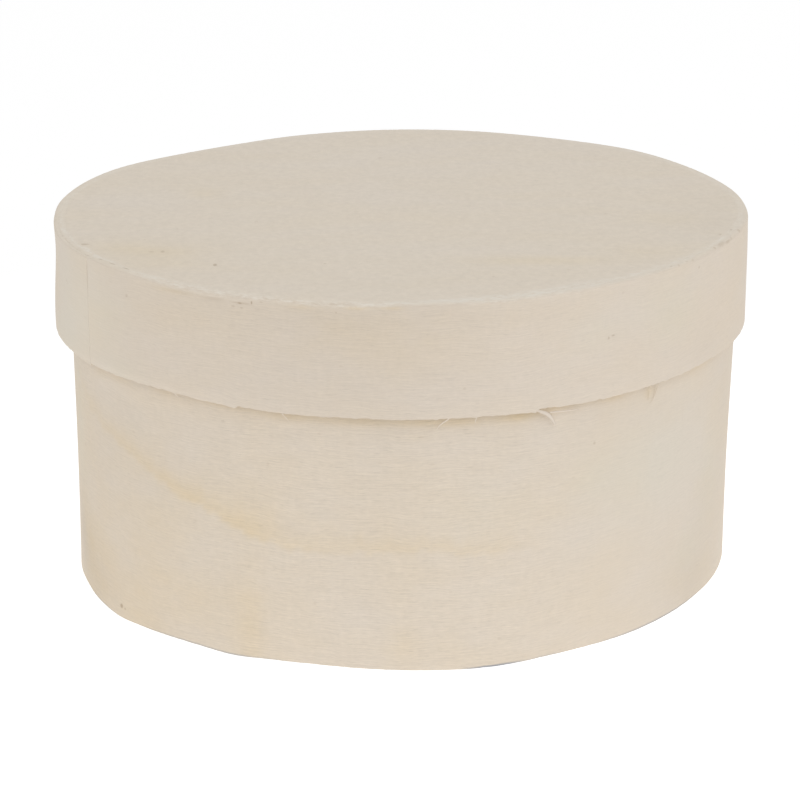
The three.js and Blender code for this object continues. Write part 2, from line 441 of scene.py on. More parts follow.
def sanded_group():
    """Wood sanded flat: pale, with yellow stains and faint clouds, soft mottling and a grain along the
    first axis. Fuzz is where the sanding raised fibres. The mottling serves as a height as well."""
    group, given, result = new_group(
        "sanded_wood",
        {"Place": "Vector", "Stain": "Float", "Tone": "Float", "Fuzz": "Float"},
        {"Colour": "Color", "Height": "Float"},
    )
    clouds = noise(group, given["Place"], (50, 110, 100), 4.0, 0.6)
    stain = total(group, (clouds, 0.5), (given["Stain"], 0.7), (1.0, 0.15))
    colour = mix_colour(group, stain, PALE_DISC, YELLOW_DISC)
    faint = {"Place": given["Place"], "Lines": 0.05, "Flecks": 0.03, "Ripples": 0.0}
    grain = use_group(group, wood_grain, faint)["Change"]
    mottle = noise(group, given["Place"], (1100, 800, 700), 4.0, 0.7, (4.0, 2.0, 0.0))
    shade = total(group, (mottle, 0.2), (grain, 1.0), (given["Tone"], 1.0), (1.0, 1.0))
    colour = shade_colour(group, colour, shade)
    tufts = noise(group, given["Place"], (900, 1600, 1600), 3.0, 0.7, (0.0, 4.0, 2.0))
    fuzz = calculate(group, "MULTIPLY", given["Fuzz"], total(group, (tufts, 9.0), (1.0, 1.0)))
    feed(group, result, {"Colour": mix_colour(group, fuzz, colour, PALE_FUZZ), "Height": mottle})
    return group


def spot_group():
    """Mask of one soft spot: one at its centre, zero at its half sizes."""
    group, given, result = new_group(
        "spot", {"Place": "Vector", "Centre": "Vector", "Half Size": "Vector"}, {"Mask": "Float"}
    )
    ends = {0: given["Place"], 1: given["Centre"]}
    away = place(group, "VectorMath", ends, operation="SUBTRACT").outputs[0]
    away = place(group, "VectorMath", {0: away, 1: given["Half Size"]}, operation="DIVIDE").outputs[0]
    away = place(group, "VectorMath", {0: away}, operation="LENGTH").outputs["Value"]
    feed(group, result, {"Mask": ramp(group, away, 1.0, 0.3)})
    return group


PALE_DISC = (0.70, 0.632, 0.547, 1)
YELLOW_DISC = (0.703, 0.603, 0.45, 1)
PALE_FUZZ = (0.74, 0.688, 0.605, 1)

wood_grain = grain_group()
sanded_wood = sanded_group()
spot = spot_group()


def spots(tree, where, rows):
    """Sum of spots, each a centre, half sizes and a strength."""
    result = 0.0
    for centre, half_size, strength in rows:
        mask = use_group(tree, spot, {"Place": where, "Centre": centre, "Half Size": half_size})["Mask"]
        result = calculate(tree, "MULTIPLY_ADD", mask, strength, result)
    return result


# How deep a spot on the wall, on the top edge or on top reaches into the wood
WALL_REACH, EDGE_REACH, TOP_REACH = 0.0012, 0.0006, 0.001


def strip_marks(plan, low, rows):
    """Spots on the outside of a strip: direction in degrees, height, half length and half height in
    millimetres and strength, turned into places along and up the strip."""
    result = []
    for degrees, height, half_length, half_height, strength in rows:
        run = (math.radians(degrees) - plan["start"]) % FULL_TURN
        run = run + FULL_TURN if run < plan["lap"] else run
        centre = (run * plan["middle_radius"], height / 1000 - low, plan["outer"].min())
        result.append((centre, (half_length / 1000, half_height / 1000, WALL_REACH), strength))
    return result


def new_material(name, roughness, specular):
    """Material with its Principled shader, and the tree that feeds it."""
    material = bpy.data.materials.new(name)
    material.use_nodes = True
    shader = material.node_tree.nodes["Principled BSDF"]
    feed(material.node_tree, shader.inputs, {"Roughness": roughness, "Specular IOR Level": specular})
    return material, material.node_tree, shader


def dress(tree, shader, colour, height, strength, distance):
    """Feeds a shader its colour, and its normal from a bump of that height."""
    bump = place(tree, "Bump", {"Height": height, "Strength": strength, "Distance": distance}).outputs[0]
    feed(tree, shader.inputs, {"Base Color": colour, "Normal": bump})


PALE_VENEER = (0.657, 0.583, 0.502, 1)
YELLOW_VENEER = (0.668, 0.550, 0.384, 1)
COOL_VENEER = (0.6425, 0.5886, 0.502, 1)
MARK_BROWN = (0.36, 0.27, 0.18, 1)
SHADOW_GREY = (0.30, 0.31, 0.33, 1)


def veneer_material(name, marks, shadows, **grain_weights):
    """Bare veneer: pale with yellow stains, fine grain along the strip, a sanded top edge, pale fuzz
    where the sanding raised fibres, its own dark marks, and painted grey shadows. Its stain and tone also
    carry the painted shade and painted light that the body and the lid have under and along the lid's lower
    edge."""
    material, tree, shader = new_material(name, 0.85, 0.15)
    strip = attribute(tree, "strip", "Vector")
    tone = attribute(tree, "tone")
    clouds = noise(tree, strip, (70, 110, 60), 4.0, 0.6, (5.0, 2.0, 0.0))
    # On the body the stain also holds a warm painted shade just under the lid's lower edge
    stain = calculate(tree, "MULTIPLY", attribute(tree, "stain"), total(tree, (clouds, 1.1), (1.0, 0.7)))
    stain = total(tree, (clouds, 0.35), (stain, 1.0))
    pale = mix_colour(tree, attribute(tree, "cool"), PALE_VENEER, COOL_VENEER)
    colour = mix_colour(tree, stain, pale, YELLOW_VENEER)
    grain = use_group(tree, wood_grain, {"Place": strip, **grain_weights})["Change"]
    grain = calculate(tree, "MULTIPLY", grain, attribute(tree, "grain"))
    # The tone makes the colour darker or lighter; on the body and the lid's wall it is partly painted shade
    # and painted light along the lid's lower edge
    colour = shade_colour(tree, colour, total(tree, (grain, 1.0), (tone, 1.0), (1.0, 1.0)))
    where = place(tree, "TexCoord").outputs["Object"]
    top = {"Place": where, "Stain": attribute(tree, "top_stain"), "Tone": tone}
    colour = mix_colour(tree, attribute(tree, "sanded"), colour, use_group(tree, sanded_wood, top)["Colour"])
    fibres = noise(tree, strip, (800, 3000, 3000), 4.0, 0.7, (0.0, 4.0, 2.0))
    fuzz = calculate(tree, "MULTIPLY", attribute(tree, "fuzz"), total(tree, (fibres, 9.0), (1.0, 1.0)))
    colour = mix_colour(tree, fuzz, colour, PALE_FUZZ)
    colour = mix_colour(tree, spots(tree, strip, marks), colour, MARK_BROWN)
    if shadows:
        colour = mix_colour(tree, spots(tree, strip, shadows), colour, SHADOW_GREY)
    height = total(tree, (grain, 1.0), (fuzz, calculate(tree, "MULTIPLY", fibres, 0.5)))
    dress(tree, shader, colour, height, 0.3, 0.0001)
    return material


# Specks in the veneer, in rows for strip_marks
BODY_MARKS = (
    (215.4, 1.68, 0.45, 0.45, 0.65), (216.4, 1.5, 0.3, 0.25, 0.4), (286.2, 3.8, 0.35, 0.25, 0.14),
    (233.6, 17.7, 0.5, 0.2, 0.14), (256.3, 32.1, 0.4, 0.22, 0.14), (201.5, 21.5, 0.4, 0.35, 0.16),
    (239.4, 32.3, 0.4, 0.22, 0.13), (219.8, 27.6, 0.45, 0.25, 0.13), (255.3, 8.7, 0.3, 0.3, 0.15),
    (273, 32.2, 0.5, 0.2, 0.13), (304.2, 28.5, 0.3, 0.3, 0.3), (262.2, 14.1, 0.35, 0.25, 0.12),
    (247.4, 27.3, 0.3, 0.35, 0.13), (266.4, 28.6, 0.6, 0.18, 0.12), (274.8, 28.5, 0.5, 0.2, 0.12),
    (288.7, 25, 0.45, 0.2, 0.11), (299.9, 24.4, 0.4, 0.2, 0.1), (250.9, 15.6, 1.2, 0.14, 0.12),
    (277.9, 10.9, 0.4, 0.2, 0.11), (241.4, 15.8, 0.8, 0.15, 0.12), (226, 25.4, 0.5, 0.2, 0.11),
    (348.5, 29.6, 0.3, 0.4, 0.1),
)
# Thin shadow along the foot of the wall
FOOT_SHADOWS = (
    (285.5, 0, 6, 0.38, 0.95), (321, 0, 17, 0.36, 0.55), (235, 0, 18, 0.36, 0.4), (241.6, 0, 3, 0.36, 0.2),
    (295, 0, 4, 0.3, 0.35), (207, 0, 9, 0.36, 0.3),
)
body_marks = strip_marks(body_plan, 0.0, BODY_MARKS)
foot_shadows = strip_marks(body_plan, 0.0, FOOT_SHADOWS)
body_finish = veneer_material(
    "body_veneer_finish", body_marks, foot_shadows, Lines=0.17, Flecks=0.06, Ripples=0.045
)
body_band.data.materials.append(body_finish)
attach(body_band, "box")
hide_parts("body_band")


# Glue in the body's lap
# A thin film of wood glue between the two feathered ends. Only its edges show, as a fine slanting line.
FILM_STATIONS = 25


def lap_glue(name, plan, low, height, shift=None):
    """Film that slopes through the lap, as thick as the gap between the two ends. It moves with them
    where shift says that the wall leans."""
    share = np.linspace(0, 1, FILM_STATIONS)[:, None]
    film_start, film_end = plan["film"]
    half = LAP_FILM / 2
    inset = film_start + (film_end - film_start) * share + np.array([half, -half, -half, half])
    z = low + height * np.array([0, 0, 1, 1]) + 0 * share
    direction = plan["start"] + plan["lap"] * share + 0 * inset
    if shift:
        inset = inset - shift(direction, z, inset)
    faces = swept_faces(*z.shape)
    return add_mesh(name, plan_points(direction, inset, z), faces, len(faces))


# Dried wood glue, dulled by sanding dust and fibres
DARK_GLUE = (0.56, 0.44, 0.28, 1)
LIGHT_GLUE = (0.68, 0.59, 0.46, 1)
dried_glue, tree, shader = new_material("dried_glue", 0.5, 0.35)
dust = noise(tree, place(tree, "TexCoord").outputs["Object"], (900, 900, 900), 4.0, 0.6)
dress(tree, shader, mix_colour(tree, ramp(tree, dust, -0.15, 0.2), DARK_GLUE, LIGHT_GLUE), dust, 0.4, 0.0001)
feed(tree, shader.inputs, {"Roughness": total(tree, (dust, 0.4), (1.0, 0.5))})

body_lap_film = lap_glue("body_lap_film", body_plan, 0.0, body_height)
body_lap_film.data.materials.append(dried_glue)
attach(body_lap_film, "box")
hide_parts("body_lap_glue")


# The base
# A flat disc of plywood pressed into the lower end of the body's band, flush with its edge.
RIM_LINE = 0.00025
DISC_ROUND = 0.00001
DISC_TURNS = 480
# Rings of points on each side of a disc, closest together near its rim: share of the radius
DISC_RINGS = np.concatenate([np.linspace(0.01, 0.955, 76), np.linspace(0.958, 1, 24)])
# How far a disc is warped, and the share of its radius past which the warp fades out
DISC_WARP = 0.00002
DEEPEST_WARP = 0.00005
WARPED_SHARE = 0.93
base_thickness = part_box("base_disc")[1].z


def face_patches(points, rows):
    """Sum of soft round patches, strength exp(-(x / half length)^2 - (y / half width)^2) about their
    centres. Each row is a centre's x and y, a half length and a half width in millimetres, and a strength."""
    x, y = points[..., 0] * 1000, points[..., 1] * 1000
    value = 0 * x
    for row_x, row_y, half_x, half_y, strength in rows:
        value = value + strength * np.exp(-(((x - row_x) / half_x) ** 2) - ((y - row_y) / half_y) ** 2)
    return value


def disc_piece(name, inset, low, high, random, stains):
    """Flat disc that follows the outline: rings of points from the middle of its upper side, over its
    rounded rim, to the middle of its lower side. Both sides are warped a little, inwards only."""
    turn = round_turn(DISC_TURNS)[:, None]
    angle = np.linspace(0, math.pi / 2, 5)[1:]
    radius = outline_radius(turn) - inset
    flat = (radius - DISC_ROUND) * DISC_RINGS
    arc = radius - DISC_ROUND * (1 - np.sin(angle))
    drop = DISC_ROUND * (1 - np.cos(angle))
    r = np.concatenate([flat, arc, arc[:, ::-1], flat[:, ::-1]], 1)
    z = [high + 0 * flat, high - drop + 0 * arc, low + drop[::-1] + 0 * arc, low + 0 * flat]
    z = np.concatenate(z, 1)
    x, y = r * np.cos(turn), r * np.sin(turn)
    warp = waves(0.8 * x + 0.6 * y, 0.01, 0.08, 6, random) + waves(y - 0.3 * x, 0.008, 0.06, 6, random)
    inward = np.where(np.arange(z.shape[1]) < z.shape[1] // 2, -1, 1)
    z = z + inward * np.clip(DISC_WARP * (1 + warp), 0, DEEPEST_WARP) * smooth(r / radius, 1, WARPED_SHARE)
    rings = z.shape[1]
    poles = [[0, 0, z[:, 0].mean()], [0, 0, z[:, -1].mean()]]
    points = np.concatenate([np.stack([x, y, z], -1).reshape(-1, 3), poles])
    i = np.arange(DISC_TURNS)
    n = (i + 1) % DISC_TURNS
    j = np.arange(rings - 1)
    a, b = i[:, None] * rings + j, n[:, None] * rings + j
    quads = np.stack([a, a + 1, b + 1, b], -1).reshape(-1, 4)
    top = np.stack([0 * i + DISC_TURNS * rings, i * rings, n * rings], -1)
    under = np.stack([0 * i + DISC_TURNS * rings + 1, n * rings + rings - 1, i * rings + rings - 1], -1)
    faces = quads.tolist() + top.tolist() + under.tolist()
    return add_mesh(name, points, faces, stain=face_patches(points, stains))


def disc_material(name, grain_turn, marks):
    """Sanded plywood face, with the disc's own stains, fuzz and dark marks."""
    material, tree, shader = new_material(name, 0.9, 0.12)
    where = place(tree, "TexCoord").outputs["Object"]
    turned = place(tree, "Mapping", {"Vector": where, "Rotation": (0, 0, grain_turn)}).outputs[0]
    carried = {label: attribute(tree, label.lower()) for label in ("Stain", "Tone", "Fuzz")}
    sanded = use_group(tree, sanded_wood, {"Place": turned, **carried})
    colour = mix_colour(tree, spots(tree, where, marks), sanded["Colour"], MARK_BROWN)
    dress(tree, shader, colour, sanded["Height"], 0.2, 0.00005)
    return material


base_inset = BODY_OUTER_INSET + VENEER + RIM_LINE
BASE_GRAIN_TURN = 0.4
BASE_STAINS = ((-15, 10, 25, 8, 0.3), (20, -18, 18, 5, 0.25))
base_random = np.random.default_rng(5)
base_disc = disc_piece("base_plywood", base_inset, 0.0, base_thickness, base_random, BASE_STAINS)
base_disc.data.materials.append(disc_material("base_plywood_finish", BASE_GRAIN_TURN, ()))
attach(base_disc, "box")
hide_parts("base_disc")


# Glue round the base
# A line of glue fills the gap between the disc's rim and the band.
RIM_HOLLOW = 0.000003


def rim_glue(name, inset, low, high):
    """Ring of glue from the disc's rim out to the band, a little hollow above and below."""
    turn = round_turn(DISC_TURNS)[:, None]
    section = np.array([0, 0.5, 1, 1, 0.5, 0]) * RIM_LINE
    hollow = np.array([0, RIM_HOLLOW, 0])
    inset = inset - section + 0 * turn
    z = np.concatenate([low + hollow, high - hollow]) + 0 * inset
    faces = swept_faces(*inset.shape, ring=True)
    return add_mesh(name, plan_points(turn + 0 * inset, inset, z), faces, len(faces))


base_rim_line = rim_glue("base_rim_line", base_inset, 0.0, base_thickness)
base_rim_line.data.materials.append(dried_glue)
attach(base_rim_line, "box")
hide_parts("base_rim_glue")


# Glue bead above the base
# Glue squeezed out of that line when the disc was pressed in, and left to dry in the corner.
BEAD = 0.001
BEAD_STATIONS = 900
# Share of that size: in the middle of its range, how much it varies, and the least
BEAD_SHARE, BEAD_SWING, BEAD_LEAST = 0.8, 0.12, 0.45

turn = round_turn(BEAD_STATIONS)[:, None]
uneven = BEAD_SWING * waves(turn * LID_MEAN_RADIUS, 0.002, 0.03, 12, np.random.default_rng(8))
size = BEAD * np.clip(BEAD_SHARE + uneven, BEAD_LEAST, 1)
curve = np.linspace(0, math.pi / 2, 7)
bead_inset = BODY_OUTER_INSET + VENEER + np.concatenate([size * (1 - np.sin(curve)), 0 * turn], 1)
bead_z = base_thickness + np.concatenate([size * (1 - np.cos(curve)), 0 * turn], 1)
bead_points = plan_points(turn + 0 * bead_inset, bead_inset, bead_z)
glue_bead = add_mesh("base_glue_line", bead_points, swept_faces(*bead_z.shape, ring=True))
glue_bead.data.materials.append(dried_glue)
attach(glue_bead, "box")
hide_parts("base_glue_bead")


# The lid's band
# A second strip of veneer, wide enough to slip over the body. Its outer end shows at the front left, as
# a fine line near the top. Its lower edge is torn and its top edge is sanded round.
LID_LAP_LENGTH = 0.030
LID_LAP_END = math.radians(211)
LID_STATIONS = 1100
LID_LOW_ROUND = 0.00012
HIDDEN_ROUND = 0.00001
TORN_SWING = 0.000035
TORN_HEIGHT = 0.0025
WORN_DEPTH = 0.00001
WORN_SWING = 0.000008
DEEPEST_WORN = 0.00003
WORN_HEIGHT = 0.001

# The strip is stretched over these angles to shut the grooves beside its tips. A share of the outer one
# stays open from the first to the second of the heights, as shares of the lid's, and shuts again from
# the second to the first of the depths below the top. The inner one is filled by a share.
OUTER_STRETCH = 0.02
INNER_STRETCH = 0.03
OPEN_SHARE = 0.12
OPEN_HEIGHTS = (0.66, 0.78)
OPEN_DEPTHS = (0.0004, 0.0012)
INNER_FILLED = 0.95
# Rows up the wall, closest together at both edges
LID_ROWS = 27

# Rounding of the top edge: direction in degrees, radius in millimetres
TOP_ROUNDS = (
    (0, 0.45), (30, 0.25), (160, 0.25), (178, 0.3), (190, 0.45), (205, 0.3), (211, 0.16), (216, 0.3),
    (222, 0.4), (230, 0.65), (236, 0.75), (258, 0.75), (268, 0.6), (280, 0.35), (318, 0.3), (330, 0.5),
    (350, 0.5), (360, 0.45),
)
# Pale fuzz that runs along the corner: direction in degrees, place in millimetres in from the corner, or
# down the wall where it is below zero, half width in millimetres, and strength
FUZZ_LINE = (
    (0, 1, 0.6, 0.3), (100, 0.6, 0.5, 0.3), (185, 1, 0.5, 0.3), (195, 1.2, 0.45, 0.5),
    (200, 1.45, 0.4, 0.4), (204, 1.2, 0.4, 0.3), (207, 1.6, 0.4, 0.7), (211, 1.15, 0.5, 0.6),
    (217, 1.35, 0.4, 0.35), (223, 0.5, 0.6, 0.3), (229, 0.4, 0.75, 0.45), (236, 0, 0.75, 0.45),
    (245, -0.1, 0.6, 0.4), (255, -0.3, 0.5, 0.4), (265, -0.1, 0.6, 0.45), (275, 1.2, 0.8, 0.6),
    (285, 1.1, 1.1, 0.9), (295, 1.3, 1.2, 0.65), (305, 1.3, 1.2, 0.5), (315, 1.3, 0.9, 0.35),
    (325, 1.2, 0.8, 0.35), (334, 1.1, 0.5, 0.35), (345, 1, 0.5, 0.35), (360, 1, 0.6, 0.3),
)
# Torn lower edge: direction in degrees, height above the straight edge in millimetres
LOW_EDGE = (
    (0, -0.2), (150, -0.1), (180, 0.3), (196, 0.45), (206, 0.45), (217, 0.4), (229, 0.42), (232, 0.33),
    (234, 0.24), (236, 0.11), (239, 0.03), (241.5, -0.12), (243.1, -0.26), (243.4, 0.03), (246, -0.08),
    (250, -0.2), (256, -0.24), (264, -0.13), (269, -0.18), (276, -0.06), (283, -0.03), (288, -0.13),
    (291.2, -0.3), (291.8, 0.14), (294, 0.05), (298, -0.12), (303, -0.19), (311, -0.18), (317, -0.12),
    (324, -0.12), (330, -0.08), (336, -0.2), (342, -0.35), (350, -0.35), (360, -0.2),
)
# Where the band leans out or in, in rows as for the body
LID_LEANS = (
    (191, 37.5, 7, 3.5, 0.12), (190, 46.5, 8, 4, -0.27), (45, 50.5, 7, 3, 0.35), (112, 50.5, 6, 3, 0.35),
    (150, 50.5, 7, 3, 0.35), (176, 50.5, 4, 3, 0.1), (3, 50.5, 6, 3, -0.2), (75, 50.5, 6, 3, 0.2),
)

# Yellow stains, and darker and lighter places, on top of the lid, in rows for face_patches
LID_TOP_STAINS = (
    (-31.4, -23.5, 5, 2.6, 0.5), (-32.5, -28, 6, 3, 0.4), (19, -27.3, 10, 2.2, 0.5),
    (-5, 12, 14, 8, -0.15), (37, -6, 6, 3, 0.25), (31, -22, 6, 3, 0.3), (-37, -21, 5, 3.5, 0.45),
    (5, 34, 30, 12, -0.15), (-38, 2, 6, 8, -0.2), (-28, 8, 3, 3, 0.4),
)
LID_TOP_TONES = (
    (43, -4, 6, 16, -0.02), (40, -9, 7, 4, -0.012), (-36, -24, 9, 4, -0.008), (0, -38, 20, 3, -0.006),
)


def lid_shift(direction, z, depth):
    """How far a point of the lid's wall moves outwards: a lean times the share of the wall between the
    point and the inner face, less what the sanding took off."""
    left = np.clip(1 - depth / VENEER, 0, 1)
    return left * patches(direction, z, LID_LEANS) / 1000 - SANDED_OFF * smooth(left, 0, 0.5)


lid_low, lid_high = (corner.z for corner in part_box("lid_band"))
lid_height = lid_high - lid_low
lid_random = np.random.default_rng(23)
lid_plan = lap_plan(0.0, LID_LAP_LENGTH, LID_LAP_END, LID_STATIONS)
lid_shares = 0.5 - 0.5 * np.cos(math.pi * np.arange(1, LID_ROWS) / LID_ROWS)
wall, run, lap, groove = (lid_plan[key] for key in ("wall", "run", "lap", "groove"))
facing = np.degrees(lid_plan["direction"]) % 360
top_round = look_up(TOP_ROUNDS, facing)[0] / 1000
outer_round = np.where(run < lap, HIDDEN_ROUND, top_round)
depth, z = rounded_section(
    wall, lid_height, outer_round, LID_LOW_ROUND, HIDDEN_ROUND, lid_shares, arc_rows=5, edge_rows=4
)
depth = depth + lid_plan["outer"]
along = lid_plan["along"] + 0 * z
end_run = FULL_TURN + lap
left_open = smooth(z / lid_height, *OPEN_HEIGHTS) * smooth(lid_height - z, *OPEN_DEPTHS)
closed = (1 - OPEN_SHARE * left_open) * groove * smooth(run, end_run - OUTER_STRETCH, end_run)
filled = INNER_FILLED * groove * smooth(run, FULL_TURN - INNER_STRETCH, FULL_TURN - groove)
filled = filled * np.clip((FULL_TURN - run) / groove, 0, 1)
direction = lid_plan["direction"] + closed + filled
torn = look_up(LOW_EDGE, facing)[0] / 1000
torn = torn + TORN_SWING * waves(along, 0.0008, 0.005, 16, lid_random)
worn = WORN_SWING * waves(along + 0.3 * depth, 0.0003, 0.003, 12, lid_random)
worn = np.clip(WORN_DEPTH - worn, 0, DEEPEST_WORN) * smooth(depth, VENEER, 0.5 * VENEER)
lift = torn * smooth(z, TORN_HEIGHT, 0) - worn * smooth(z, lid_height - WORN_HEIGHT, lid_height)
above = lid_low + z
inset = depth - lid_shift(direction, above, depth)
points = plan_points(direction, inset, above + lift)

# Yellow stains, darker and lighter places, and cooler places on the wall, in rows for patches. The tone rows
# along the lower edge, at 35.5 and 35.8 mm, are painted light, and those just below the top, from 47.6 to 49
# mm, painted shade, which make the wall lighter towards its lower edge.
LID_STAINS = (
    (307, 45.5, 9, 3, -0.1), (262, 43, 16, 5, 0.1), (221, 43, 7, 6, 0.14), (200, 42, 5, 6, -0.15),
    (30, 44, 15, 4, 0.3), (212, 37, 7, 3, -0.1), (199, 48, 5, 3, -0.3), (254.2, 49.4, 1.5, 0.3, 0.35),
    (262.9, 49.7, 1.4, 0.22, 0.7), (268.3, 49.9, 1.5, 0.22, 0.6), (232, 49.4, 3, 0.3, 0.3),
    (261, 46, 14, 4, 0.15),
)
# Darker and lighter places: painted light along the lower edge, painted shade just below the top, and broad
# patches elsewhere
LID_TONE_LIGHT_AND_SHADE = (
    (211, 42, 6, 11, 0.04), (238, 49, 7, 0.8, -0.012), (263, 43, 17, 14, -0.03), (270, 49, 20, 2.5, -0.02),
    (330, 37, 6, 3, -0.02), (255, 47.6, 22, 2.4, -0.015), (252, 43, 26, 12, -0.02),
    (200, 42, 7, 12, 0.015), (270, 35.5, 60, 1.5, 0.012), (120, 42, 15, 4, -0.015),
    (222, 35.8, 14, 0.5, 0.045),
)
LID_COOL = (
    (206, 43, 10, 9, 0.8), (318, 46, 7, 4, 0.6), (200, 37, 6, 3, 0.8), (220, 36.5, 4, 2, 0.6),
    (302, 44.5, 4, 3, 0.5), (320, 42.5, 4, 2.5, 0.6), (217, 44, 4, 4, 0.4),
)
# How yellow the whole wall is, and how far below the top of the lid its look reaches
LID_YELLOW = 0.2
TOP_DEPTH = 0.0005
# How strong the grain is: direction in degrees, share
LID_GRAIN = (
    (0, 0.7), (40, 0.9), (150, 0.9), (180, 0.5), (215, 0.6), (235, 1.2), (285, 1.2), (310, 0.8),
    (360, 0.7),
)


def corner_fuzz(direction, inward):
    """Strength of the fuzz: a bell curve across the line, exp(-((inward - centre) / half width)^2)."""
    centre, half_width, strength = look_up(FUZZ_LINE, np.degrees(direction) % 360)
    return strength * np.exp(-(((inward * 1000 - centre) / half_width) ** 2))


def carry_top(piece):
    """Gives the top of a piece of the lid the fuzz, tones and stains that its points have there."""
    points = np.empty(3 * len(piece.data.vertices), np.float32)
    piece.data.vertices.foreach_get("co", points)
    points = points.reshape(-1, 3)
    turn = np.arctan2(points[:, 1], points[:, 0])
    from_edge = outline_radius(turn) - np.hypot(points[:, 0], points[:, 1])
    on_top = points[:, 2] > lid_high - TOP_DEPTH
    marks = {"fuzz": corner_fuzz(turn, from_edge), "tone": face_patches(points, LID_TOP_TONES)}
    if "stain" not in piece.data.attributes:
        marks["stain"] = face_patches(points, LID_TOP_STAINS)
    carry(piece.data, {mark: value * on_top for mark, value in marks.items()})


# The look of the sanded top comes in over the rounded corner, more of it the further up a point is
past_corner = depth + z - lid_height
top_share = smooth(past_corner, -0.4 * top_round, 0.3 * top_round)
top_tone = top_share * face_patches(points, LID_TOP_TONES)
lid_band = add_mesh(
    "lid_veneer",
    points,
    swept_faces(*z.shape),
    flat_faces=z.shape[1] - 2,
    strip=np.stack([along, z, depth], -1),
    grain=look_up(LID_GRAIN, facing)[0] + 0 * z,
    sanded=top_share,
    fuzz=corner_fuzz(direction, past_corner),
    stain=LID_YELLOW + patches(direction, above, LID_STAINS),
    top_stain=face_patches(points, LID_TOP_STAINS),
    cool=patches(direction, above, LID_COOL),
    # The tone on the wall carries painted light along the lower edge and painted shade just below the top
    tone=top_tone + (1 - top_share) * patches(direction, above, LID_TONE_LIGHT_AND_SHADE),
)

# Specks and torn places, in rows for strip_marks
LID_MARKS = (
    (222.2, 47.2, 0.35, 0.3, 0.24), (305.6, 43.46, 0.42, 0.17, 0.4), (304.7, 43.25, 0.22, 0.3, 0.36),
    (202.3, 45.2, 0.35, 0.25, 0.15), (260.5, 42, 0.4, 0.2, 0.12), (279.5, 39.2, 0.3, 0.3, 0.15),
    (195.4, 39.7, 0.4, 0.3, 0.15), (307.5, 48.9, 0.3, 0.25, 0.12), (327, 49.1, 0.3, 0.25, 0.13),
    (234, 49.42, 3.6, 0.42, 0.08), (239.5, 49.32, 2.6, 0.34, 0.14), (244.4, 49.2, 1.9, 0.2, 0.24),
    (246.2, 49.41, 0.16, 0.32, 0.6), (244.2, 49.18, 0.4, 0.14, 0.45), (247.8, 49.62, 0.35, 0.13, 0.25),
    (243.1, 48.67, 0.4, 0.17, 0.26), (244.5, 48.59, 0.3, 0.14, 0.3), (259.8, 49, 0.16, 0.18, 0.28),
    (203.1, 45.1, 0.3, 0.3, 0.15), (326.9, 49, 0.25, 0.25, 0.2), (211.3, 47.2, 0.3, 2.6, 0.16),
)
# Specks on the band's top edge, where a depth below the outer face takes the place of each height
EDGE_MARKS = (
    (319.3, 0.44, 0.3, 0.2, 0.3), (320.9, 0.15, 0.3, 0.2, 0.2), (323.4, 0.25, 0.4, 0.2, 0.2),
    (325, 0.12, 0.4, 0.18, 0.17), (333.3, 0.27, 0.4, 0.3, 0.3), (336, 0.25, 1.7, 0.4, 0.24),
    (338.7, 0.05, 1.6, 0.22, 0.3), (340.6, 0, 0.5, 0.4, 0.2), (345, 1.15, 0.5, 0.3, 0.3),
    (345.5, 0.1, 0.6, 0.5, 0.25), (214.1, 0.82, 0.5, 0.3, 0.3), (217.4, 0.87, 1, 0.2, 0.35),
    (221, 0.85, 0.9, 0.22, 0.45),
)
lid_marks = strip_marks(lid_plan, lid_low, LID_MARKS)
edge_marks = strip_marks(lid_plan, 0.0, EDGE_MARKS)
for (edge_along, into, face), (half_length, half_depth, _), strength in edge_marks:
    centre = (edge_along, lid_height, face + into)
    lid_marks.append((centre, (half_length, EDGE_REACH, half_depth), strength))
lid_finish = veneer_material("lid_veneer_finish", lid_marks, (), Lines=0.13, Flecks=0.045, Ripples=0.035)
lid_band.data.materials.append(lid_finish)
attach(lid_band, "lid")
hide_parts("lid_band")


# Glue in the lid's lap
# The same film of glue as in the body's lap.
lid_lap_film = lap_glue("lid_lap_film", lid_plan, lid_low, lid_height, lid_shift)
dusty_glue = disc_material("dusty_glue", 0.0, ())
lid_lap_film.data.materials.append(dusty_glue)
carry_top(lid_lap_film)
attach(lid_lap_film, "lid")
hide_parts("lid_lap_glue")


# The lid's disc
# A flat plywood disc in the top of the lid's band, sanded off flush with it.
LID_TOP_MARKS = (
    (-24.4, -29.3, 0.38, 0.8, 0.5), (-31.7, -22.9, 0.4, 0.8, 0.3), (-33.2, -22.9, 0.5, 0.6, 0.2),
    (-42.4, -19.4, 0.9, 0.6, 0.33), (43, -14.3, 0.4, 0.5, 0.25), (-10.1, -28.8, 0.3, 0.4, 0.2),
    (11.7, -34.9, 0.3, 0.4, 0.16), (-20, -7.6, 0.4, 0.6, 0.12), (-30.6, -11.3, 0.3, 0.5, 0.12),
    (21.5, -31.6, 0.4, 0.4, 0.12), (-34.6, -17, 0.4, 0.5, 0.12), (28.2, -3.4, 0.4, 0.6, 0.11),
    (43, -14.9, 0.4, 0.4, 0.12), (-3.3, 29.1, 0.4, 0.8, 0.12),
)
lid_disc_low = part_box("lid_disc")[0].z
lid_inset = VENEER + RIM_LINE
disc_random = np.random.default_rng(3)
lid_disc = disc_piece("lid_plywood", lid_inset, lid_disc_low, lid_high, disc_random, LID_TOP_STAINS)
carry_top(lid_disc)
lid_top_marks = [
    ((x / 1000, y / 1000, lid_high), (half_x / 1000, half_y / 1000, TOP_REACH), strength)
    for x, y, half_x, half_y, strength in LID_TOP_MARKS
]
lid_disc.data.materials.append(disc_material("lid_plywood_finish", 0.0, lid_top_marks))
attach(lid_disc, "lid")
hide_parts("lid_disc")


